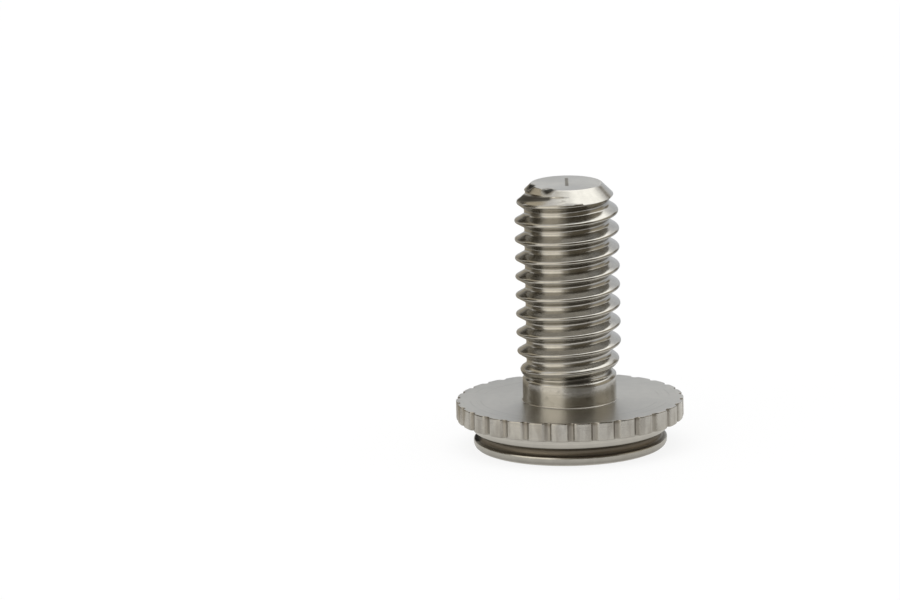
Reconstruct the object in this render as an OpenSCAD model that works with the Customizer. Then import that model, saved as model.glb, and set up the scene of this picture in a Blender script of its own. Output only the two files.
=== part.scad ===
// Self-clinching stud, concealed-head pattern: one turned piece, a threaded shank on a toothed clinch head.
// Millimetres, +Z along the shank. Origin: centre of the pilot's bottom face, which the stud stands on.

/* [Shank] */
// Length of the shank above the toothed flange
shank_length = 8.1; // [6:0.1:20]
// Diameter over the thread crests (M4, external)
thread_d = 3.84; // [3.7:0.01:4.1]
// Diameter at the thread roots
root_d = 3.12; // [3.0:0.01:3.3]
// Thread pitch
pitch = 0.7; // [0.6:0.05:0.8]
// Diameter of the plain neck between flange and thread
neck_d = 3.44; // [3.34:0.01:3.6]
// Height of the plain neck above the flange
neck_height = 0.52; // [0.3:0.02:1.2]
// Length over which the thread rises to its full height
run_out = 1.5; // [0.8:0.1:2.5]
// Diameter of the flat end face
tip_d = 2.62; // [2.2:0.02:3.0]
// Fillet where the neck meets the flange
neck_fillet = 0.03; // [0.02:0.01:0.2]

/* [Toothed flange] */
// Diameter over the teeth
flange_d = 8.36; // [7.9:0.02:9.5]
// Thickness of the flange
flange_height = 0.70; // [0.4:0.02:1.2]
// Number of teeth
tooth_count = 30; // [16:1:48]
// Depth of the gaps between teeth
tooth_depth = 0.12; // [0.04:0.01:0.18]
// Share of a tooth's step taken by its gap, at the rim
gap_share = 0.38; // [0.3:0.02:0.6]
// Angle at which each flank of a gap opens outward, in degrees
gap_flank = 35; // [5:1:40]
// Bevel on the rim's top and bottom edges
flange_bevel = 0.04; // [0.02:0.01:0.1]

/* [Clinch groove and pilot] */
// Diameter of the smooth band under the flange
band_d = 7.24; // [7.12:0.02:7.5]
// Height of the smooth band
band_height = 0.43; // [0.2:0.01:0.8]
// Bevel on the band's lower edge
band_bevel = 0.12; // [0.02:0.01:0.18]
// Diameter of the clinch groove's floor
groove_d = 6.60; // [6.0:0.05:6.9]
// Width of the clinch groove
groove_height = 0.29; // [0.15:0.01:0.6]
// Diameter of the pilot disc
pilot_d = 7.10; // [7.0:0.02:7.2]
// Height of the pilot disc
pilot_height = 0.36; // [0.2:0.01:0.8]
// Bevel on the pilot's bottom edge
pilot_bevel = 0.10; // [0.02:0.01:0.15]

/* [Hidden] */
$fn = 120;
eps = 0.01;
// angle of the first gap between teeth from +X, as a share of a tooth's step
gap_phase = 0.5;

// heights of the steps, from the bottom up
z_groove = pilot_height;
z_band = z_groove + groove_height;
z_flange = z_band + band_height;
z_face = z_flange + flange_height;
z_neck = z_face + neck_height;
z_tip = z_face + shank_length;

// thread form: crest flat one eighth of the pitch
thread_angle = 60;
crest_r = thread_d / 2;
root_r = root_d / 2;
blank_r = neck_d / 2 - eps;
crest_flat = pitch / 8;
flank = (crest_r - root_r) * tan(thread_angle / 2);
profile = [
    [-crest_flat / 2, crest_r],
    [crest_flat / 2, crest_r],
    [crest_flat / 2 + flank, root_r],
    [pitch - crest_flat / 2 - flank, root_r]];
groove_run_out = run_out / 4;
// height of the first crest on the stud's +X side above the end of the neck, as a share of the pitch
crest_phase = 0.37;
sides = 40;
points = len(profile);
z_start = z_neck - 2 * pitch + crest_phase * pitch;
turns = ceil((z_tip - z_start) / pitch) + 1;
rows = turns * points;

// the thread rises from, and cuts into, the neck's own diameter over the run-out
function share(z, from, run) = min(1, max(0, (z - from) / run));
function faded(r, z) = r > blank_r
    ? blank_r + (r - blank_r) * share(z, z_neck, run_out)
    : blank_r - (blank_r - r) * share(z, z_neck + groove_run_out / 2, groove_run_out);
function on_helix(i, j) =
    let (a = 360 * i / sides,
        p = profile[j % points],
        z = z_start + pitch * (floor(j / points) + i / sides) + p[0],
        r = faded(p[1], z))
    [r * cos(a), r * sin(a), z];

// side 0 carries one more turn of points than the others: it is also the side that closes the last turn
function at(i, j) = i == 0 ? j : i == sides ? j + points : rows + points + (i - 1) * rows + j;

module threaded_core() {
    pts = concat(
        [for (j = [0:rows + points - 1]) on_helix(0, j)],
        [for (i = [1:sides - 1]) for (j = [0:rows - 1]) on_helix(i, j)]);
    low = len(pts);
    high = low + 1;
    wall = [for (i = [0:sides - 1]) for (j = [0:rows - 2]) each [
        [at(i, j), at(i, j + 1), at(i + 1, j + 1)],
        [at(i, j), at(i + 1, j + 1), at(i + 1, j)]]];
    low_cap = concat(
        [for (i = [0:sides - 1]) [low, at(i, 0), at(i + 1, 0)]],
        [for (j = [0:points - 1]) [low, j + 1, j]]);
    high_cap = concat(
        [for (i = [0:sides - 1]) [high, at(i + 1, rows - 1), at(i, rows - 1)]],
        [for (j = [0:points - 1]) [high, rows - 1 + j, rows + j]]);
    polyhedron(concat(pts, [[0, 0, z_start], [0, 0, z_start + turns * pitch]]),
        concat(wall, low_cap, high_cap), convexity = 10);
}

// what the turned end leaves of the thread: a 45 degree cone down to a flat end face
end_room = 0.3;
module turned_end() {
    reach = crest_r + end_room;
    rotate_extrude()
        polygon([[0, z_face + eps], [reach, z_face + eps], [reach, z_tip - reach + tip_d / 2],
            [tip_d / 2, z_tip], [0, z_tip]]);
}

// the head's steps in half section, and the neck
module turned_head() {
    f = neck_fillet;
    rotate_extrude()
        polygon(concat(
            [[0, 0], [pilot_d / 2 - pilot_bevel, 0], [pilot_d / 2, pilot_bevel],
            [pilot_d / 2, z_groove], [groove_d / 2, z_groove], [groove_d / 2, z_band],
            [band_d / 2 - band_bevel, z_band], [band_d / 2, z_band + band_bevel], [band_d / 2, z_flange],
            [flange_d / 2 - flange_bevel, z_flange], [flange_d / 2, z_flange + flange_bevel],
            [flange_d / 2, z_face - flange_bevel], [flange_d / 2 - flange_bevel, z_face]],
            [for (a = [0:15:90]) [neck_d / 2 + f * (1 - sin(a)), z_face + f * (1 - cos(a))]],
            [[neck_d / 2, z_neck], [0, z_neck]]));
}

// one gap between two teeth: flat floor, flanks opening outward
module tooth_gap() {
    rim_r = flange_d / 2;
    rim_half = rim_r * sin(180 / tooth_count * gap_share);
    widening = tooth_depth * tan(gap_flank);
    translate([0, 0, z_flange - eps])
        linear_extrude(flange_height + 2 * eps)
            polygon([[rim_r - tooth_depth, widening - rim_half], [rim_r + tooth_depth, -rim_half - widening],
                [rim_r + tooth_depth, rim_half + widening], [rim_r - tooth_depth, rim_half - widening]]);
}

module stud() {
    color([0.66, 0.65, 0.61])
        union() {
            difference() {
                turned_head();
                for (i = [0:tooth_count - 1])
                    rotate([0, 0, (i + gap_phase) * 360 / tooth_count]) tooth_gap();
            }
            intersection() {
                threaded_core();
                turned_end();
            }
        }
}

stud();
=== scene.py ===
import math
import bpy, bmesh
from mathutils import Matrix, Vector

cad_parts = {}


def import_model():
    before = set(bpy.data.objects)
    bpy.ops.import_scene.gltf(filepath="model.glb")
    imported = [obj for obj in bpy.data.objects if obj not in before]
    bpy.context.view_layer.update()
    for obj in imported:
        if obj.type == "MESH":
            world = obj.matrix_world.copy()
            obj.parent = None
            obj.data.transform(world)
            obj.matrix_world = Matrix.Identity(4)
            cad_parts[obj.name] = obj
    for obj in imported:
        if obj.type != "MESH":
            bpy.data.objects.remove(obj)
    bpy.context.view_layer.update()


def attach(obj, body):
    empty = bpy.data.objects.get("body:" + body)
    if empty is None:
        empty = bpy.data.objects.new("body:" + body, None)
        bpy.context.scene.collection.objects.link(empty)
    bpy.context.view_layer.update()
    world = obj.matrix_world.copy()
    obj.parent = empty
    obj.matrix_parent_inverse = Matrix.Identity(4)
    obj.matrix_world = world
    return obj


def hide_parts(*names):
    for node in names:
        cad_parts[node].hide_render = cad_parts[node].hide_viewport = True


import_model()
MM = 0.001

# ---------------------------------------------------------------- sizes, in millimetres, as in the part's source
PILOT_R, PILOT_H = 3.55, 0.36
GROOVE_R, Z_BAND = 3.30, 0.65
BAND_R, BAND_BEVEL, Z_FLANGE = 3.62, 0.12, 1.08
RIM_R, Z_FACE = 4.18, 1.78
TEETH, TOOTH_DEPTH, GAP_PHASE = 30, 0.12, 0.5
NECK_R, NECK_FILLET, Z_NECK = 1.72, 0.03, 2.30
CREST_R, ROOT_R, PITCH, CREST_PHASE = 1.92, 1.56, 0.7, 0.37
TIP_R, Z_TIP = 1.31, 9.88

# ---------------------------------------------------------------- finer forms than the source has, in millimetres
SIDES = 180
# the bottom face: radii of its rings, each but the last with twice the points of the one before
BOTTOM_RINGS = (0.5, 1.4, 2.4, 3.0)
# the pilot's rounded bottom edge: its reach, its height as a share of that, and the angles of its rings
PILOT_ROUND, PILOT_SQUASH, PILOT_ANGLES = 0.28, 0.9, (0, 15, 35, 55, 75, 90)
# rounded corners of the head, as steps (outward, upward) from the corner
PILOT_TOP = ((0, -0.03), (-0.008, -0.008), (-0.03, 0))
GROOVE_CORNER = ((0.11, 0), (0.05, 0.018), (0.014, 0.06), (0, 0.115))
BAND_LOW = ((-BAND_BEVEL - 0.012, 0), (-BAND_BEVEL + 0.012, 0.012), (-0.045, 0.075), (-0.012, 0.15), (0, 0.22))
BAND_HIGH = ((0, -0.05), (0.012, -0.014), (0.045, 0), (0.12, 0))
RIM_LOW = ((-0.055, 0), (-0.022, 0.010), (-0.005, 0.030), (0, 0.055), (0, 0.075))
RIM_HIGH = ((0, -0.045), (0, -0.025), (-0.003, -0.013), (-0.009, -0.004), (-0.024, 0))
# rings on the flange: one under it, then on its face two that follow the teeth, one with half the points, the rest
UNDER_RING = BAND_R + 0.26
TOOTHED_RINGS, HALF_RING, FACE_RINGS = (RIM_R - 0.2, RIM_R - 0.45), RIM_R - 0.8, (3.0, 2.5, 2.1)
# the neck: room outside and above the fillet, the angles of the fillet's rings, and the height of a ring half-way up
FILLET_ROOM, FILLET_ANGLES, NECK_RING = (0.06, 0.02), (8, 26, 44, 62, 80), 0.3

# the teeth differ a little: their sides in degrees, the rest in millimetres, and the room left to the CAD's rim
SIDE_SHIFT, FLOOR_UNEVEN, CROWN_UNEVEN, CROWN_LEAN, RIM_ROOM = 0.14, 0.010, 0.006, 0.006, 0.002
# half a tooth, from its gap: degrees from the gap's middle, the level it is measured from, the distance from that
# level, and whether it takes part in the shift of the tooth's side and in the lean of its crown
HALF_TOOTH = ((0.85, "floor", 0.006, 0, 0), (1.35, "floor", 0.032, 1, 0), (1.85, "rim", -0.044, 1, 0),
              (2.25, "crown", -0.014, 1, 0), (3.00, "crown", -0.005, 1, 1))

# the thread: radii of its crest and root in section, the angles of their rings, and half its flanks' angle
CREST_ROUND, ROOT_ROUND, ARC_ANGLES, HALF_ANGLE = 0.076, 0.12, (0, 15, 30, 45, 60), 30
# the crest rises from the neck and the groove sinks into it between these heights
CREST_FADE, CREST_FADE_POWER, GROOVE_FADE = (2.60, 3.80), 0.8, (2.59, 2.77)
# the crest wears down towards the end: from this height, over this run, by how much, and how suddenly
WEAR_Z, WEAR_RUN, WEAR, WEAR_POWER = 8.6, 0.6, 0.085, 1.5
# the last groove is deeper: from this height, over this run, by how much, and how far up its flanks
DEEP_Z, DEEP_RUN, DEEPER, DEEP_REACH = 9.35, 0.2, 0.045, 0.1
# how far above the plain neck the thread's own points begin
THREAD_CLEAR = 0.012

# the turned end's cutter: its lowest and widest rings, its turn in degrees so that no edges meet, and its cone
CUTTER_LOW, CUTTER_LOW_R, CUTTER_R, CUTTER_SIDE, CUTTER_TURN = -2, 2, 6, 8.2, 0.7
CONE_RINGS, CONE_EASE = (2.4, 2.1, 1.9, 1.7, 1.5), (0.05, 0.022)
# the end face: its eased edge, its rings, one ring with half the points and one with a quarter
TIP_EDGE = ((0.002, -0.008), (-0.022, -0.001), (-0.05, 0))
TIP_RINGS, TIP_HALF_RING, TIP_QUARTER_RING = (1.2, 1.1, 0.95), 0.6, 0.25
# where the end's edge is bitten: azimuth from the front and half width in degrees, middle radius, half reach
NICKS = ((-31, 12, 1.25, 0.20), (-77, 12, 1.31, 0.12))
# the bites' outline as a share of that, their depth and how much they narrow the edge, and where they may reach
NICK_EDGE, NICK_DEPTH, NICK_SHRINK, NICK_INNER, NICK_LOW = 1.2, 0.05, 0.01, 1.0, 9.3

# merging distances in metres, the angles in degrees from which an edge looks sharp, and where the run-out is
MERGE, SLIVER = 2e-7, 1e-7
SHARP, RUN_OUT_SHARP = 38, 75
RUN_OUT_LOW, RUN_OUT_HIGH, RUN_OUT_R = Z_NECK - 0.1, Z_NECK + 1.0, 2


def smooth(t):
    t = min(1.0, max(0.0, t))
    return t * t * (3 - 2 * t)


def jitter(k, seed):
    """A fixed number from -1 to 1 for tooth k, by a usual hash of the sine."""
    return math.modf(abs(math.sin(k * 12.9898 + seed * 78.233) * 43758.5453))[0] * 2 - 1


def linked(name, data):
    ob = bpy.data.objects.new(name, data)
    bpy.context.scene.collection.objects.link(ob)
    return ob


class Skin:
    """A closed skin built ring by ring: outward over the bottom, up the walls, inward over the top."""

    def __init__(self, turn=0.0):
        self.v, self.f, self.turn = [], [], turn

    def point(self, x, y, z):
        self.v.append((x * MM, y * MM, z * MM))
        return len(self.v) - 1

    def ring(self, angles, radii, z):
        return [self.point(r * math.cos(a), r * math.sin(a), z) for a, r in zip(angles, radii)]

    def circle(self, n, r, z):
        return self.ring([2 * math.pi * i / n + self.turn for i in range(n)], [r] * n, z)

    def join(self, a, b):
        """Quads between two rings of as many points."""
        n = len(a)
        for i in range(n):
            j = (i + 1) % n
            self.f.append((a[i], a[j], b[j], b[i]))

    def halve(self, a, b):
        """Faces from ring a to ring b, which has half its points."""
        n = len(b)
        for k in range(n):
            p, q, r = a[2 * k], a[2 * k + 1], a[(2 * k + 2) % (2 * n)]
            self.f.append((p, q, b[k]))
            self.f.append((q, r, b[(k + 1) % n], b[k]))

    def double(self, a, b):
        """Faces from ring a to ring b, which has twice its points."""
        n = len(a)
        for k in range(n):
            p, q, r = b[2 * k], b[2 * k + 1], b[(2 * k + 2) % (2 * n)]
            self.f.append((a[k], q, p))
            self.f.append((a[k], a[(k + 1) % n], r, q))

    def pole(self, ring, z, up):
        """Closes a ring with a fan that faces up or down."""
        c = self.point(0, 0, z)
        n = len(ring)
        for i in range(n):
            j = (i + 1) % n
            self.f.append((ring[i], ring[j], c) if up else (ring[j], ring[i], c))

    def lathe(self, n, profile, start):
        """Joins circles of n points along a list of (radius, height) to the ring start."""
        last = start
        for r, z in profile:
            now = self.circle(n, r, z)
            self.join(last, now)
            last = now
        return last

    def object(self, name):
        me = bpy.data.meshes.new(name)
        me.from_pydata(self.v, [], self.f)
        return linked(name, me)


def corner(r, z, steps, upward=1):
    """The rings of a rounded corner at radius r and height z."""
    return [(r + out, z + upward * rise) for out, rise in steps]


# ---------------------------------------------------------------- the toothed rim
def rim():
    """Angles and radii once round the rim, twelve points to a tooth step."""
    step = 360 / TEETH
    angles, radii = [], []
    for k in range(TEETH):
        left, right = SIDE_SHIFT * jitter(k, 1), SIDE_SHIFT * jitter(k, 2)
        level = {"floor": RIM_R - TOOTH_DEPTH + FLOOR_UNEVEN * jitter(k, 3), "rim": RIM_R,
                 "crown": RIM_R - RIM_ROOM - CROWN_UNEVEN * jitter(k, 4)}
        lean = CROWN_LEAN * jitter(k, 5)
        marks = [(0, level["floor"])]
        marks += [(a + right * shifts, level[base] + out - lean * leans)
                  for a, base, out, shifts, leans in HALF_TOOTH]
        marks += [(step / 2, level["crown"])]
        marks += [(step - a + left * shifts, level[base] + out + lean * leans)
                  for a, base, out, shifts, leans in reversed(HALF_TOOTH)]
        for a, r in marks:
            angles.append(math.radians((k + GAP_PHASE) * step + a))
            radii.append(min(r, RIM_R - RIM_ROOM))
    return angles, radii


# ---------------------------------------------------------------- the thread
def half_profile():
    """(distance from the crest's middle, radius) down one flank, from the rounded crest to the rounded root."""
    apex = CREST_R + CREST_ROUND
    slope = math.tan(math.radians(HALF_ANGLE))
    arcs = [math.radians(b) for b in ARC_ANGLES]
    crest = [(CREST_ROUND * math.sin(b), CREST_R - CREST_ROUND * (1 - math.cos(b))) for b in arcs]
    flat = (apex - ROOT_R) * slope + ROOT_ROUND * slope
    root = [(flat - ROOT_ROUND * math.sin(b), ROOT_R + ROOT_ROUND * (1 - math.cos(b))) for b in reversed(arcs)]
    middle = tuple((p + q) / 2 for p, q in zip(crest[-1], root[0]))
    return crest + [middle] + root + [(PITCH / 2, ROOT_R)]


def faded(r, z):
    """A point's radius on the thread, changed for the run-out at the neck and for the worn end."""
    if r > NECK_R:
        risen = min(1, max(0, (z - CREST_FADE[0]) / (CREST_FADE[1] - CREST_FADE[0])))
        r = NECK_R + (r - NECK_R) * risen ** CREST_FADE_POWER
        worn = max(0, (z - WEAR_Z) / WEAR_RUN) ** WEAR_POWER
        return r - WEAR * max(0, (r - ROOT_R) / (CREST_R - ROOT_R)) * worn
    r -= DEEPER * smooth((z - DEEP_Z) / DEEP_RUN) * max(0, 1 - (r - ROOT_R) / DEEP_REACH)
    return NECK_R - (NECK_R - r) * smooth((z - GROOVE_FADE[0]) / (GROOVE_FADE[1] - GROOVE_FADE[0]))


def thread(skin, ring, n):
    """The helical thread, from a level ring in the plain neck to past the end, where it is cut off later."""
    half = half_profile()
    profile = half + [(PITCH - u, r) for u, r in half[-2:0:-1]]
    m = len(profile)
    z_start = Z_NECK - 2 * PITCH + CREST_PHASE * PITCH
    turns = math.ceil((Z_TIP - z_start) / PITCH) + 1
    rows = turns * m
    grid = {}

    def at(i, j):
        """Point j up side i. The last side is the first one, a turn of the profile further up."""
        if i == n:
            i, j = 0, j + m
        if (i, j) not in grid:
            u, r = profile[j % m]
            z = z_start + PITCH * (j // m + i / n) + u
            if z < Z_NECK + THREAD_CLEAR:
                grid[i, j] = ring[i]
            else:
                a = 2 * math.pi * i / n
                r = faded(r, z)
                grid[i, j] = skin.point(r * math.cos(a), r * math.sin(a), z)
        return grid[i, j]

    for i in range(n):
        for j in range(rows - 1):
            quad = [at(i, j), at(i + 1, j), at(i + 1, j + 1), at(i, j + 1)]
            face = [p for k, p in enumerate(quad) if p != quad[k - 1]]
            if len(set(face)) == len(face) and len(face) >= 3:
                skin.f.append(tuple(face))
    top = skin.point(0, 0, z_start + turns * PITCH)
    for i in range(n):
        skin.f.append((at(i, rows - 1), at(i + 1, rows - 1), top))
    for j in range(m):
        skin.f.append((at(0, rows + j), at(0, rows - 1 + j), top))


# ---------------------------------------------------------------- the stud
def stud_skin():
    s = Skin()
    n = SIDES
    # bottom face
    inner, middle, outer, last = BOTTOM_RINGS
    first = s.circle(n // 4, inner, 0)
    s.pole(first, 0, up=False)
    mid = s.circle(n // 2, middle, 0)
    s.double(first, mid)
    ring = s.circle(n, outer, 0)
    s.double(mid, ring)
    # pilot, clinch groove and band
    edge = [math.radians(t) for t in PILOT_ANGLES]
    ring = s.lathe(n, [(last, 0)]
                   + [(PILOT_R - PILOT_ROUND * (1 - math.sin(t)), PILOT_ROUND * (1 - math.cos(t)) * PILOT_SQUASH)
                      for t in edge]
                   + corner(PILOT_R, PILOT_H, PILOT_TOP)
                   + corner(GROOVE_R, PILOT_H, GROOVE_CORNER)
                   + corner(GROOVE_R, Z_BAND, reversed(GROOVE_CORNER), upward=-1)
                   + corner(BAND_R, Z_BAND, BAND_LOW)
                   + corner(BAND_R, Z_FLANGE, BAND_HIGH), ring)
    # toothed rim: under, round and over
    angles, radii = rim()
    wide = s.ring(angles, [UNDER_RING] * len(angles), Z_FLANGE)
    s.double(ring, wide)
    for out, z in (corner(0, Z_FLANGE, RIM_LOW) + [(0, (Z_FLANGE + Z_FACE) / 2)] + corner(0, Z_FACE, RIM_HIGH)):
        now = s.ring(angles, [r + out for r in radii], z)
        s.join(wide, now)
        wide = now
    for r in TOOTHED_RINGS:
        now = s.ring(angles, [r] * len(angles), Z_FACE)
        s.join(wide, now)
        wide = now
    # the flange's face, the fillet and the neck
    ring = s.circle(n, HALF_RING, Z_FACE)
    s.halve(wide, ring)
    f = NECK_FILLET
    ring = s.lathe(n, [(r, Z_FACE) for r in FACE_RINGS] + [(NECK_R + f + FILLET_ROOM[0], Z_FACE)]
                   + [(NECK_R + f * (1 - math.sin(t)), Z_FACE + f * (1 - math.cos(t)))
                      for t in [math.radians(a) for a in FILLET_ANGLES]]
                   + [(NECK_R, Z_FACE + f + FILLET_ROOM[1]), (NECK_R, Z_FACE + NECK_RING), (NECK_R, Z_NECK)], ring)
    thread(s, ring, n)
    return s


def end_cutter():
    """What the turned end leaves: everything below a 45 degree cone and a flat end face with an eased edge."""
    s = Skin(turn=math.radians(CUTTER_TURN))
    n = SIDES
    low = s.circle(n, CUTTER_LOW_R, CUTTER_LOW)
    s.pole(low, CUTTER_LOW, up=False)
    cone = [(r, Z_TIP - (r - TIP_R)) for r in CONE_RINGS + tuple(TIP_R + out for out in CONE_EASE)]
    ring = s.lathe(n, [(CUTTER_R, CUTTER_LOW), (CUTTER_R, CUTTER_SIDE)] + cone + corner(TIP_R, Z_TIP, TIP_EDGE)
                   + [(r, Z_TIP) for r in TIP_RINGS], low)
    mid = s.circle(n // 2, TIP_HALF_RING, Z_TIP)
    s.halve(ring, mid)
    inner = s.circle(n // 4, TIP_QUARTER_RING, Z_TIP)
    s.halve(mid, inner)
    s.pole(inner, Z_TIP, up=True)
    # small bites in the edge of the end face
    for i, (x, y, z) in enumerate(s.v):
        r = math.hypot(x, y) / MM
        if r < NICK_INNER or z < NICK_LOW * MM:
            continue
        az = math.degrees(math.atan2(x, -y))
        bite = max(smooth(NICK_EDGE - math.hypot((az - middle) / half, (r - at) / reach))
                   for middle, half, at, reach in NICKS)
        narrower = 1 - NICK_SHRINK * bite
        s.v[i] = (x * narrower, y * narrower, z - NICK_DEPTH * MM * bite)
    return s


def evaluated(ob):
    """Applies an object's modifiers."""
    dg = bpy.context.evaluated_depsgraph_get()
    me = bpy.data.meshes.new_from_object(ob.evaluated_get(dg))
    ob.modifiers.clear()
    old, ob.data = ob.data, me
    bpy.data.meshes.remove(old)


def dress_edges(ob):
    """Merges the cut's slivers, and makes every edge look smooth except the real corners."""
    bm = bmesh.new()
    bm.from_mesh(ob.data)
    bmesh.ops.remove_doubles(bm, verts=bm.verts, dist=MERGE)
    bmesh.ops.dissolve_degenerate(bm, edges=bm.edges, dist=SLIVER)
    for face in bm.faces:
        face.smooth = True
    for edge in bm.edges:
        # the run-out's folds open little by little, so none of them turns sharp half-way round
        start = edge.verts[0].co / MM
        run_out = RUN_OUT_LOW < start.z < RUN_OUT_HIGH and start.xy.length < RUN_OUT_R
        edge.smooth = edge.calc_face_angle(0) < math.radians(RUN_OUT_SHARP if run_out else SHARP)
    bm.to_mesh(ob.data)
    bm.free()


stud = stud_skin().object("stud_turned")
cutter = end_cutter().object("end_cutter")
cut = stud.modifiers.new("end", "BOOLEAN")
cut.operation, cut.solver, cut.object = "INTERSECT", "EXACT", cutter
evaluated(stud)
bpy.data.objects.remove(cutter)
dress_edges(stud)
weight = stud.modifiers.new("even", "WEIGHTED_NORMAL")
weight.mode, weight.keep_sharp = "FACE_AREA", True
evaluated(stud)

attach(stud, "root")
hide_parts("stud")


# ---------------------------------------------------------------- node trees
class Nodes:
    """Builds the node tree of a material or a world."""

    def __init__(self, owner):
        self.owner = owner
        owner.use_nodes = True
        self.tree = owner.node_tree
        self.tree.nodes.clear()

    def feed(self, socket, value):
        if isinstance(value, bpy.types.NodeSocket):
            self.tree.links.new(value, socket)
        else:
            socket.default_value = value

    def add(self, kind, inputs=None, **settings):
        node = self.tree.nodes.new(kind)
        for key, value in settings.items():
            setattr(node, key, value)
        for key, value in (inputs or {}).items():
            self.feed(node.inputs[key], value)
        return node

    def math(self, operation, *values):
        node = self.add("ShaderNodeMath", operation=operation)
        for socket, value in zip(node.inputs, values):
            self.feed(socket, value)
        return node.outputs[0]

    def chain(self, operation, values):
        result = values[0]
        for value in values[1:]:
            result = self.math(operation, result, value)
        return result

    def product(self, *values):
        return self.chain("MULTIPLY", values)

    def total(self, *values):
        return self.chain("ADD", values)

    def most(self, *values):
        return self.chain("MAXIMUM", values)

    def minus(self, a, b):
        return self.math("SUBTRACT", a, b)

    def apart(self, a, b):
        return self.math("ABSOLUTE", self.minus(a, b))

    def span(self, value, lo, hi, to_lo, to_hi):
        """A soft step from to_lo at lo to to_hi at hi."""
        return self.add("ShaderNodeMapRange", interpolation_type="SMOOTHSTEP", inputs={
            "Value": value, "From Min": lo, "From Max": hi, "To Min": to_lo, "To Max": to_hi}).outputs[0]

    def combine(self, x, y, z):
        return self.add("ShaderNodeCombineXYZ", inputs={0: x, 1: y, 2: z}).outputs[0]

    def noise(self, kind, place):
        """Noise of a kind from NOISES, along a length if it is 1D and over a vector if it is 3D."""
        dims, scale, detail, rough = NOISES[kind]
        return self.add("ShaderNodeTexNoise", noise_dimensions=dims, inputs={
            "Scale": scale, "Detail": detail, "Roughness": rough,
            "W" if dims == "1D" else "Vector": place}).outputs["Fac"]

    def mix(self, share, a, b):
        """Colour a, with a share of colour b."""
        a, b = (c if isinstance(c, bpy.types.NodeSocket) else (*c, 1) for c in (a, b))
        return self.add("ShaderNodeMix", data_type="RGBA", inputs={0: share, 6: a, 7: b}).outputs[2]

    def mix_shader(self, share, a, b):
        return self.add("ShaderNodeMixShader", inputs={0: share, 1: a.outputs[0], 2: b.outputs[0]})

    def output(self, kind, shader):
        self.add(kind, inputs={0: shader.outputs[0]})


# ---------------------------------------------------------------- the stud's finish and its painted shade
def deg(*angles):
    return tuple(math.radians(a) for a in angles)


# dimensions, scale per millimetre, detail and roughness of each noise, and the middle of its values
NOISES = {
    "ragged": ("3D", 5.0, 1.0, 0.5), "rings": ("1D", 14.0, 3.0, 0.6), "wide_rings": ("1D", 2.6, 1.0, 0.5),
    "streaks": ("3D", 2.0, 4.0, 0.6), "dents": ("3D", 3.2, 3.0, 0.5), "specks": ("3D", 22.0, 2.0, 0.5),
    "stain": ("3D", 2.6, 4.0, 0.65), "ring_lines": ("1D", 7.5, 1.0, 0.4), "ring_arcs": ("3D", 0.55, 1.0, 0.4),
    "mottle": ("3D", 2.6, 2.0, 0.6)}
NOISE_MIDDLE = 0.5

# Zones of the finish and of its painted shade. Each is a product of soft steps: coordinate, where it starts and ends
# (in millimetres, or in radians for the azimuth, which is 0 at the front and positive to the right), and its values
# there.
UP, DOWN = (0, 1), (1, 0)
THREAD_ZONE = (("r", 1.93, 1.96, *DOWN), ("z", 2.30, 2.70, *UP))
GROOVE_ZONE = (("r", 3.36, 3.56, *DOWN), ("r", 3.20, 3.25, *UP), ("z", 0.34, 0.42, 0.45, 1), ("z", 0.62, 0.67, *DOWN))
# painted shade in the gaps between the teeth, darker towards their tops
GAPS_ZONE = (("r", 4.08, 4.155, *DOWN), ("r", 4.00, 4.04, *UP), ("z", 1.08, 1.12, *UP), ("z", 1.74, 1.77, *DOWN),
             ("z", 1.60, 1.74, 0.42, 0.85))
FOOT_ZONE = (("r", 1.745, 1.79, *DOWN), ("r", 1.60, 1.70, *UP), ("z", 1.79, 1.83, *DOWN))
NECK_ZONE = (("r", 1.76, 1.80, *DOWN), ("z", 1.80, 1.86, *UP), ("z", 2.35, 2.65, *DOWN))
BAND_ZONE = (("r", 3.56, 3.60, *UP), ("r", 3.66, 3.72, *DOWN), ("z", 0.68, 0.74, *UP), ("z", 1.02, 1.07, *DOWN))
RIM_ZONE = (("r", 4.00, 4.05, *UP),)
END_ZONE, END_SCRATCH_ZONE = (("z", 9.80, 9.86, *UP),), (("z", 9.80, 9.87, *UP),)
BELOW_NECK = (("z", 2.00, 2.10, *DOWN),)
NICK_ZONE = (("z", 9.60, 9.65, *UP),)
TRACE_ZONE = (("azimuth", *deg(-100, -88), *UP), ("azimuth", *deg(-26, -18), *DOWN), ("r", 1.82, 1.90, *DOWN))
# painted shadow at the left end of the clinch groove
GROOVE_END_ZONE = (("r", 3.50, 3.53, *DOWN), ("r", 3.27, 3.33, *UP), ("z", 0.60, 0.64, *DOWN), ("z", 0.30, 0.34, *UP))
FRONT_ZONE = (("azimuth", *deg(-12, 0), *UP), ("azimuth", *deg(24, 36), *DOWN))
START_ZONE = (("r", 1.63, 1.72, *DOWN),)
# painted shadow on the neck under the first groove
PATCH_ZONE = (("z", 2.22, 2.45, 0, 0.4), ("z", 2.60, 2.70, *DOWN), ("r", 1.76, 1.80, *DOWN))

# how ragged the edges of the nicks' painted shade are, and where it starts and ends, as a share of their half size
NICK_RAGGED, NICK_FADE = 0.9, (0.45, 1.35)
# the last groove's painted shade: height at an azimuth, rise per radian, strength, edge, and half widths at two
# azimuths
TRACE_Z, TRACE_AT, TRACE_RISE, TRACE_DARK, TRACE_FADE = 9.586, *deg(-29), 0.205, 0.85, (0.5, 1.4)
TRACE_WIDTH = (*deg(-90, -20), 0.115, 0.065)
# painted shadow at the left end of the clinch groove, and its half width in radians
GROOVE_END_AT, GROOVE_END_FADE = *deg(-90), (0.13, 0.22)
# the first groove's painted shade: height of its root at an azimuth, rise per radian, how far from it the shade
# reaches
START_Z, START_AT, START_RISE, START_FADE = 2.745, *deg(13), 0.111, (0.03, 0.14)
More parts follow.
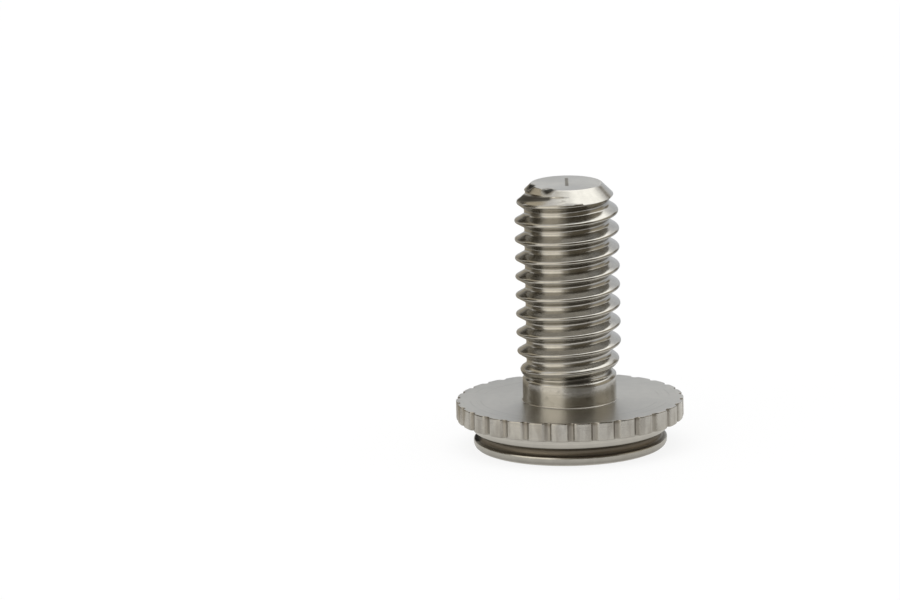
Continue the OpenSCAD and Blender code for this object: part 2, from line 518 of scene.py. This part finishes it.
# its darkest spot, at the right: azimuth, half width in radians and strength, and the strength at the front
SPOT_AT, SPOT_FADE, SPOT_DARK, FRONT_DARK = *deg(72), (0.04, 0.34), 0.85, 0.8
FOOT_DARK = 0.2

# relief, in bump units of BUMP metres: fine rings, wide rings, streaks, dents and the scratch
BUMP, RINGS, WIDE_RINGS, STREAKS, DENTS, SCRATCH = 1.6e-6, 0.9, 0.8, 0.5, 2.2, 6.0
# how much weaker the tool marks are on the rolled thread, and all the relief on level faces
THREAD_CALM, FACE_CALM = 0.8, 0.60
# from where to where the upward part of the normal turns a wall into a level face
FACE_NORMAL = (0.90, 0.99)
# the grain follows the turning: how closely it is packed round the axis and along the profile
GRAIN_ROUND, GRAIN_ALONG = 1.2, 16.0
# a short shallow scratch across the end face: middle, and where its width and length fade
SCRATCH_X, SCRATCH_Y, SCRATCH_WIDTH, SCRATCH_LENGTH = 0.02, 0.14, (0.035, 0.085), (0.60, 0.78)

# roughness: the polished metal's, and what faces, streaks, dents, the scratch and the places with painted shade add
ROUGH, FACE_ROUGH, STREAK_ROUGH, DENT_ROUGH, SCRATCH_ROUGH, SHADED_PLACES_ROUGH = 0.20, 0.15, 0.12, 0.10, 0.25, 0.30
ANISOTROPY = 0.35

# colours
STEEL_DARK, STEEL_LIGHT, STAINED = (0.435, 0.421, 0.391), (0.485, 0.470, 0.437), (0.16, 0.15, 0.13)
# the recesses' colour and the nearly black colour are painted shade
CLEAN, RECESS_SHADE_COLOUR, BLACK_SHADE_COLOUR, MOTTLED = (0.75, 0.735, 0.70), (0.20, 0.175, 0.14), (0.03, 0.027, 0.022), (0.22, 0.20, 0.175)
# how dents and streaks mix the two steels
TINT_DENTS, TINT_STREAKS, TINT_FADE = 0.6, 0.4, (0.35, 0.65)
# how much each mark takes of its colour. Four numbers are a soft step over a noise, as in the zones
SCRATCH_DARK, SPECKS_DARK, STAIN_DARK = 0.75, (0.72, 0.80, 0, 0.25), (0.50, 0.66, 0, 0.55)
RING_LINES, RING_ARCS, RING_DARK = (0.60, 0.68), (0.50, 0.60), 0.17
END_CLEAN, NECK_CLEAN, BAND_CLEAN = 0.22, 0.34, 0.26
MOTTLE_DARK, MOTTLE_UPRIGHT = (0.42, 0.66, 0, 0.42), 0.3


class Steel(Nodes):
    """Turned stainless steel: rings left by the tool, a smoother rolled thread, small scratches and dull spots, and
    painted shade in its hollows, grooves and nicks.
    """

    def __init__(self, name):
        super().__init__(bpy.data.materials.new(name))
        coord = self.add("ShaderNodeTexCoord")
        self.place = self.add("ShaderNodeVectorMath", operation="SCALE",
                              inputs={0: coord.outputs["Object"], "Scale": 1 / MM}).outputs[0]
        self.x, self.y, self.z = self.add("ShaderNodeSeparateXYZ", inputs={0: self.place}).outputs
        self.r = self.math("SQRT", self.total(self.product(self.x, self.x), self.product(self.y, self.y)))
        self.azimuth = self.math("ARCTAN2", self.x, self.product(self.y, -1.0))
        level = self.add("ShaderNodeSeparateXYZ", inputs={0: coord.outputs["Normal"]}).outputs[2]
        self.face = self.span(self.math("ABSOLUTE", level), *FACE_NORMAL, *UP)
        # noises that more than one part of the finish uses
        self.along = self.total(self.r, self.z)
        angle = self.math("ARCTAN2", self.y, self.x)
        self.streaks = self.noise("streaks", self.combine(
            self.product(self.math("COSINE", angle), GRAIN_ROUND),
            self.product(self.math("SINE", angle), GRAIN_ROUND), self.product(self.along, GRAIN_ALONG)))
        self.dents = self.noise("dents", self.place)
        self.scratch = self.product(
            self.span(self.apart(self.x, SCRATCH_X), *SCRATCH_WIDTH, *DOWN),
            self.span(self.apart(self.y, SCRATCH_Y), *SCRATCH_LENGTH, *DOWN), self.zone(END_SCRATCH_ZONE))

    def zone(self, steps):
        measures = {"r": self.r, "z": self.z, "azimuth": self.azimuth}
        return self.product(*[self.span(measures[name], *step) for name, *step in steps])

    def nicks(self):
        """Painted shade in the bites in the end's edge."""
        ragged = self.product(self.minus(self.noise("ragged", self.place), NOISE_MIDDLE), NICK_RAGGED)
        darkness = []
        for middle, half, at, reach in NICKS:
            across = self.math("DIVIDE", self.minus(self.azimuth, *deg(middle)), *deg(half))
            away = self.math("DIVIDE", self.minus(self.r, at), reach)
            off = self.math("SQRT", self.total(self.product(across, across), self.product(away, away)))
            darkness.append(self.span(self.total(off, ragged), *NICK_FADE, *DOWN))
        return self.product(self.most(*darkness), self.zone(NICK_ZONE))

    def off_helix(self, z, at, rise):
        """Distance in height from a line that climbs round the stud."""
        return self.apart(self.z, self.total(z, self.product(self.minus(self.azimuth, at), rise)))

    def last_trace(self):
        """Painted shade along the last groove under the cone's left half, thinner towards the front."""
        share = self.math("DIVIDE", self.off_helix(TRACE_Z, TRACE_AT, TRACE_RISE),
                          self.span(self.azimuth, *TRACE_WIDTH))
        return self.product(self.span(share, *TRACE_FADE, *DOWN), self.zone(TRACE_ZONE), TRACE_DARK)

    def first_groove(self):
        """Painted shade at the start of the first groove, and a painted shadow on the neck under it."""
        spot = self.span(self.apart(self.azimuth, SPOT_AT), *SPOT_FADE, SPOT_DARK, 0)
        front = self.zone(FRONT_ZONE)
        near = self.span(self.off_helix(START_Z, START_AT, START_RISE), *START_FADE, *DOWN)
        start = self.product(self.most(spot, self.product(front, FRONT_DARK)), near, self.zone(START_ZONE))
        return self.most(start, self.product(self.zone(PATCH_ZONE), front))

    def black_shade(self):
        """Painted shade, nearly black: in the nicks, the last groove, the clinch groove's left end and the first
        groove.
        """
        # painted shadow at the clinch groove's left end
        groove_end_shadow = self.product(self.span(self.apart(self.azimuth, GROOVE_END_AT), *GROOVE_END_FADE, *DOWN),
                             self.zone(GROOVE_END_ZONE))
        return self.most(self.nicks(), self.last_trace(), groove_end_shadow, self.first_groove())

    def painted_recess_shade(self):
        """Painted shade in the hollows: the clinch groove, the gaps between the teeth, darker near their tops, and
        the neck's foot.
        """
        return self.most(self.zone(GROOVE_ZONE), self.zone(GAPS_ZONE), self.product(self.zone(FOOT_ZONE), FOOT_DARK))

    def relief(self):
        """Tool marks: rings along the radius on faces and along the height on walls, grain, dents, the scratch."""
        turned = self.minus(1.0, self.product(self.zone(THREAD_ZONE), THREAD_CALM))
        height = self.total(self.product(self.noise("rings", self.along), turned, RINGS),
                            self.product(self.noise("wide_rings", self.along), turned, WIDE_RINGS),
                            self.product(self.streaks, STREAKS), self.product(self.dents, DENTS))
        height = self.product(height, self.minus(1.0, self.product(self.face, FACE_CALM)))
        height = self.minus(height, self.product(self.scratch, SCRATCH))
        return self.add("ShaderNodeBump", inputs={"Strength": 1.0, "Distance": BUMP, "Height": height}).outputs[0]

    def roughness(self, shaded_places):
        return self.total(ROUGH, self.product(self.face, FACE_ROUGH),
                          self.product(self.minus(self.streaks, NOISE_MIDDLE), STREAK_ROUGH),
                          self.product(self.minus(self.dents, NOISE_MIDDLE), DENT_ROUGH),
                          self.product(self.scratch, SCRATCH_ROUGH), self.product(shaded_places, SHADED_PLACES_ROUGH))

    def colour(self, recess_shade, black_shade):
        neck = self.zone(NECK_ZONE)
        tint = self.total(self.product(self.dents, TINT_DENTS), self.product(self.streaks, TINT_STREAKS))
        colour = self.mix(self.span(tint, *TINT_FADE, *UP), STEEL_DARK, STEEL_LIGHT)
        # stains on the neck, and faint arcs of rings that the tool left on the head's faces
        stain = self.product(neck, self.span(self.noise("stain", self.place), *STAIN_DARK))
        rings = self.product(self.span(self.noise("ring_lines", self.r), *RING_LINES, *UP),
                             self.span(self.noise("ring_arcs", self.place), *RING_ARCS, *UP),
                             self.face, self.zone(BELOW_NECK), RING_DARK)
        specks = self.span(self.noise("specks", self.place), *SPECKS_DARK)
        colour = self.mix(self.most(self.product(self.scratch, SCRATCH_DARK), specks, stain, rings), colour, STAINED)
        # the end face was cut last and is the cleanest, and the neck and the band are brighter than the thread
        clean = self.total(
            self.product(self.face, self.zone(END_ZONE), END_CLEAN, self.minus(1.0, self.scratch)),
            self.product(neck, NECK_CLEAN), self.product(self.zone(BAND_ZONE), BAND_CLEAN))
        colour = self.mix(clean, colour, CLEAN)
        # painted shade in the hollows
        colour = self.mix(recess_shade, colour, RECESS_SHADE_COLOUR)
        # nearly black painted shade
        colour = self.mix(black_shade, colour, BLACK_SHADE_COLOUR)
        # the rolled rim is mottled in upright streaks
        upright = self.combine(self.x, self.y, self.product(self.z, MOTTLE_UPRIGHT))
        mottle = self.product(self.span(self.noise("mottle", upright), *MOTTLE_DARK), self.zone(RIM_ZONE),
                              self.minus(1.0, self.face))
        return self.mix(mottle, colour, MOTTLED)


def steel():
    m = Steel("stud_turned_steel")
    recess_shade, black_shade = m.painted_recess_shade(), m.black_shade()
    tangent = m.add("ShaderNodeTangent", direction_type="RADIAL", axis="Z").outputs[0]
    m.output("ShaderNodeOutputMaterial", m.add("ShaderNodeBsdfPrincipled", inputs={
        "Base Color": m.colour(recess_shade, black_shade), "Metallic": 1.0, "Roughness": m.roughness(m.most(recess_shade, black_shade)),
        "Normal": m.relief(), "Anisotropic": ANISOTROPY, "Tangent": tangent}))
    return m.owner


stud.data.materials.clear()
stud.data.materials.append(steel())


# ---------------------------------------------------------------- stage: floor, cards, lights
# the floor: half its width in metres, its colour, and how much of it glows where it is seen directly
FLOOR_HALF, FLOOR_GREY, FLOOR_GLOW = 1.5, 0.9, 0.85
# the world's strength as a light, and where it is seen directly
WORLD_LIGHT, WORLD_SEEN = 0.75, 1.0
# cards: the steps of their grid, their usual distance in metres, and the usual width of their soft edges in degrees
CARD_GRID, CARD_DIST, CARD_SOFT = (28, 14), 0.25, (8, 5)
# mats: the steps of their grid, the usual width of their soft edges (degrees, share of the reach), and the spacing
# of their layers in metres
MAT_GRID, MAT_SOFT, LAYER = (36, 12), (10, 0.15), 0.00001
# what the lights aim at, in metres
STUD_MIDDLE = Vector((0, 0, 0.005))


def seen_directly(m):
    """One for camera, glossy and transmission rays: what sees the background as plain white."""
    ray = m.add("ShaderNodeLightPath").outputs
    seen = m.total(ray["Is Camera Ray"], ray["Is Glossy Ray"], ray["Is Transmission Ray"])
    return m.math("MINIMUM", seen, 1.0)


def floor():
    me = bpy.data.meshes.new("floor")
    w = FLOOR_HALF
    me.from_pydata([(-w, -w, 0), (w, -w, 0), (w, w, 0), (-w, w, 0)], [], [(0, 1, 2, 3)])
    ob = linked("floor", me)
    m = Nodes(bpy.data.materials.new("floor_white"))
    cloth = m.add("ShaderNodeBsdfDiffuse", inputs={"Color": (FLOOR_GREY, FLOOR_GREY, FLOOR_GREY, 1)})
    glow = m.add("ShaderNodeEmission", inputs={"Color": (1, 1, 1, 1), "Strength": 1.0})
    m.output("ShaderNodeOutputMaterial", m.mix_shader(m.product(seen_directly(m), FLOOR_GLOW), cloth, glow))
    me.materials.append(m.owner)


def world():
    ob = bpy.data.worlds.new("studio")
    bpy.context.scene.world = ob
    m = Nodes(ob)
    level = m.add("ShaderNodeMapRange", inputs={
        "Value": seen_directly(m), "To Min": WORLD_LIGHT, "To Max": WORLD_SEEN}).outputs[0]
    sky = m.add("ShaderNodeBackground", inputs={"Color": (1, 1, 1, 1), "Strength": level})
    m.output("ShaderNodeOutputWorld", sky)


def around(az, el, dist):
    """A point round the object, in degrees: azimuth 0 is towards the camera, and positive to the right."""
    a, e = deg(az, el)
    return dist * math.sin(a) * math.cos(e), -dist * math.cos(a) * math.cos(e), dist * math.sin(e)


def reflector(name, az, grid, place, strength, colour):
    """A glowing grid that only reflections see. place gives a point and its cover from azimuth and share across."""
    nu, nv = grid
    verts, cover = zip(*[place(az[0] + (az[1] - az[0]) * i / nu, j / nv)
                         for i in range(nu + 1) for j in range(nv + 1)])
    corners = [i * (nv + 1) + j for i in range(nu) for j in range(nv)]
    me = bpy.data.meshes.new(name)
    me.from_pydata(verts, [], [(k, k + nv + 1, k + nv + 2, k + 1) for k in corners])
    me.attributes.new("cover", "FLOAT", "POINT").data.foreach_set("value", cover)
    ob = linked(name, me)
    m = Nodes(bpy.data.materials.new(name))
    glow = m.add("ShaderNodeEmission", inputs={"Color": (*colour, 1), "Strength": strength})
    share = m.add("ShaderNodeAttribute", attribute_name="cover").outputs["Fac"]
    m.output("ShaderNodeOutputMaterial", m.mix_shader(share, m.add("ShaderNodeBsdfTransparent"), glow))
    me.materials.append(m.owner)
    ob.visible_camera = ob.visible_diffuse = ob.visible_shadow = ob.visible_transmission = False


def card(name, az, el, strength, colour=(1, 1, 1), dist=CARD_DIST, soft=CARD_SOFT):
    """A curved card over ranges of azimuth and elevation in degrees. A foot under the floor and a top at 90 are hard."""
    def place(a, t):
        e = el[0] + (el[1] - el[0]) * t
        side = min(1, (a - az[0]) / soft[0], (az[1] - a) / soft[0])
        rise = min(1, (e - el[0]) / soft[1] if el[0] > 0 else 1, (el[1] - e) / soft[1] if el[1] < 90 else 1)
        return around(a, e, dist), smooth(side) * smooth(rise)

    reflector(name, az, CARD_GRID, place, strength, colour)


def mat(name, az, radii, strength, colour=(1, 1, 1), soft=MAT_SOFT, layer=4):
    """A sector of card on the floor, with radii in millimetres and soft edges. Higher layers hide lower ones."""
    full = az[1] - az[0] >= 360

    def place(a, t):
        r = radii[0] * (radii[1] / radii[0]) ** t * MM
        side = 1 if full else min(1, (a - az[0]) / soft[0], (az[1] - a) / soft[0])
        reach = min(1, t / soft[1] if radii[0] > 1 else 1, (1 - t) / soft[1])
        return (*around(a, 0, r)[:2], layer * LAYER), smooth(side) * smooth(reach)

    reflector(name, az, MAT_GRID, place, strength, colour)


def softbox(name, az, el, dist, size, radiance, colour=(1, 1, 1)):
    """A square light aimed at the object, its distance and size in metres. Reflections don't see it."""
    li = bpy.data.lights.new(name, "AREA")
    li.shape, li.size, li.size_y = "RECTANGLE", size, size
    li.energy = radiance * math.pi * size * size
    li.color = colour
    ob = linked(name, li)
    ob.location = Vector(around(az, el, dist))
    ob.rotation_euler = (STUD_MIDDLE - ob.location).to_track_quat("-Z", "Y").to_euler()
    ob.visible_glossy = ob.visible_camera = False


floor()
WHITE, COOL, PALE = (1.0, 1.0, 0.975), (0.97, 1.0, 1.04), (1.0, 0.975, 0.92)
WINDOW, WARM, SHADE = (1.0, 0.945, 0.83), (1.0, 0.895, 0.70), (1.0, 0.85, 0.60)
# all the way round, and the radii in millimetres where mats start under the stud and end far from it
ROUND, UNDER, FAR = (-180, 180), 0.5, 250
# what the metal sees: cards nearer the stud hide those behind them
card("front_left_low", (-81, -11), (-1, 28), 1.55, WINDOW, soft=(14, 12))
card("front_left_high", (-70, -16), (12, 78), 0.9, WINDOW, dist=0.265, soft=(10, 10))
card("front_strip", (-22, 4), (-1, 50), 0.36, WARM, dist=0.26)
card("front_right_flag", (-6, 68), (-1, 56), 0.115, SHADE, dist=0.24)
card("right_card", (60, 122), (-1, 38), 0.52, WARM, dist=0.245)
card("right_back_flag", (116, 150), (-1, 32), 0.20, SHADE, dist=0.24)
card("left_flag_low", (-120, -70), (-1, 40), 0.14, SHADE, dist=0.24)
card("left_flag_high", (-148, -88), (28, 62), 0.68, WARM, dist=0.241)
card("back_left_low", (-176, -112), (-1, 18), 0.42, WARM, dist=0.243)
card("back_left_flag", (-174, -124), (14, 48), 0.04, SHADE, dist=0.242)
card("back_card", (146, 192), (-1, 44), 0.71, COOL, dist=0.26)
card("back_top", (120, 200), (40, 78), 2.2, WHITE, dist=0.255)
card("right_top", (28, 138), (37, 90), 2.0, WHITE, dist=0.252)
card("top", ROUND, (70, 90), 1.5, WHITE, dist=0.27, soft=(0.01, 8))
# and mats on the floor
mat("mat_near", ROUND, (UNDER, 14.0), 0.83, PALE)
# the next two dimmer discs under the stud are painted shadow: they stand in for the floor's shadow round it, as
# reflections see it
mat("mat_contact_shadow", ROUND, (UNDER, 6.5), 0.67, PALE, soft=(10, 0.25), layer=7)
mat("mat_under_shadow", ROUND, (UNDER, 3.72), 0.30, PALE, soft=(10, 0.03), layer=9)
mat("mat_back_left", (-186, -108), (5.5, 60), 0.40, WARM, layer=8)
mat("mat_front_right", (-6, 70), (12.0, FAR), 0.13, SHADE, layer=6)
mat("mat_left", (-120, -68), (10.0, FAR), 0.10, SHADE, layer=6)
mat("mat_front_left", (-77, -9), (9.5, 90), 1.1, WINDOW, soft=(14, 0.15), layer=6.5)
mat("mat_front", (-22, 4), (18.0, FAR), 0.4, WARM, layer=5)
mat("mat_right", (60, 122), (24.0, FAR), 0.35, WARM, layer=5)
mat("mat_back", ROUND, (12.0, FAR), 0.6, COOL, layer=3)
softbox("softbox_front_left", -40, 35, 0.9, 0.6, 1.0, (1.0, 0.985, 0.95))
softbox("softbox_top", 0, 84, 1.0, 0.9, 1.7)
world()

# ---------------------------------------------------------------- camera
# the photograph's frame in pixels, the camera's height and roll, its distance in metres, and where the stud stands
FRAME_W, FRAME_H = 900, 600
ELEVATION, ROLL, PX_PER_MM, DIST = *deg(12.7, 1.1), 27.2, 0.6
ORIGIN_PX = (570.6, 445.4)
SENSOR, CLIP = 36, (0.01, 20)
right = Vector((1, 0, 0))
up = Vector((0, math.sin(ELEVATION), math.cos(ELEVATION)))
ahead = Vector((0, math.cos(ELEVATION), -math.sin(ELEVATION)))
right, up = (right * math.cos(ROLL) - up * math.sin(ROLL), right * math.sin(ROLL) + up * math.cos(ROLL))
aim = (right * ((FRAME_W / 2 - ORIGIN_PX[0]) / PX_PER_MM * MM)
       + up * ((ORIGIN_PX[1] - FRAME_H / 2) / PX_PER_MM * MM))
cam = bpy.data.cameras.new("camera")
cam.sensor_width = SENSOR
cam.lens = SENSOR * DIST / (FRAME_W / PX_PER_MM * MM)
cam.clip_start, cam.clip_end = CLIP
eye = linked("camera", cam)
eye.matrix_world = Matrix.Translation(aim - ahead * DIST) @ Matrix((right, up, -ahead)).transposed().to_4x4()
bpy.context.scene.camera = eye

bpy.context.scene.view_settings.view_transform = "Standard"
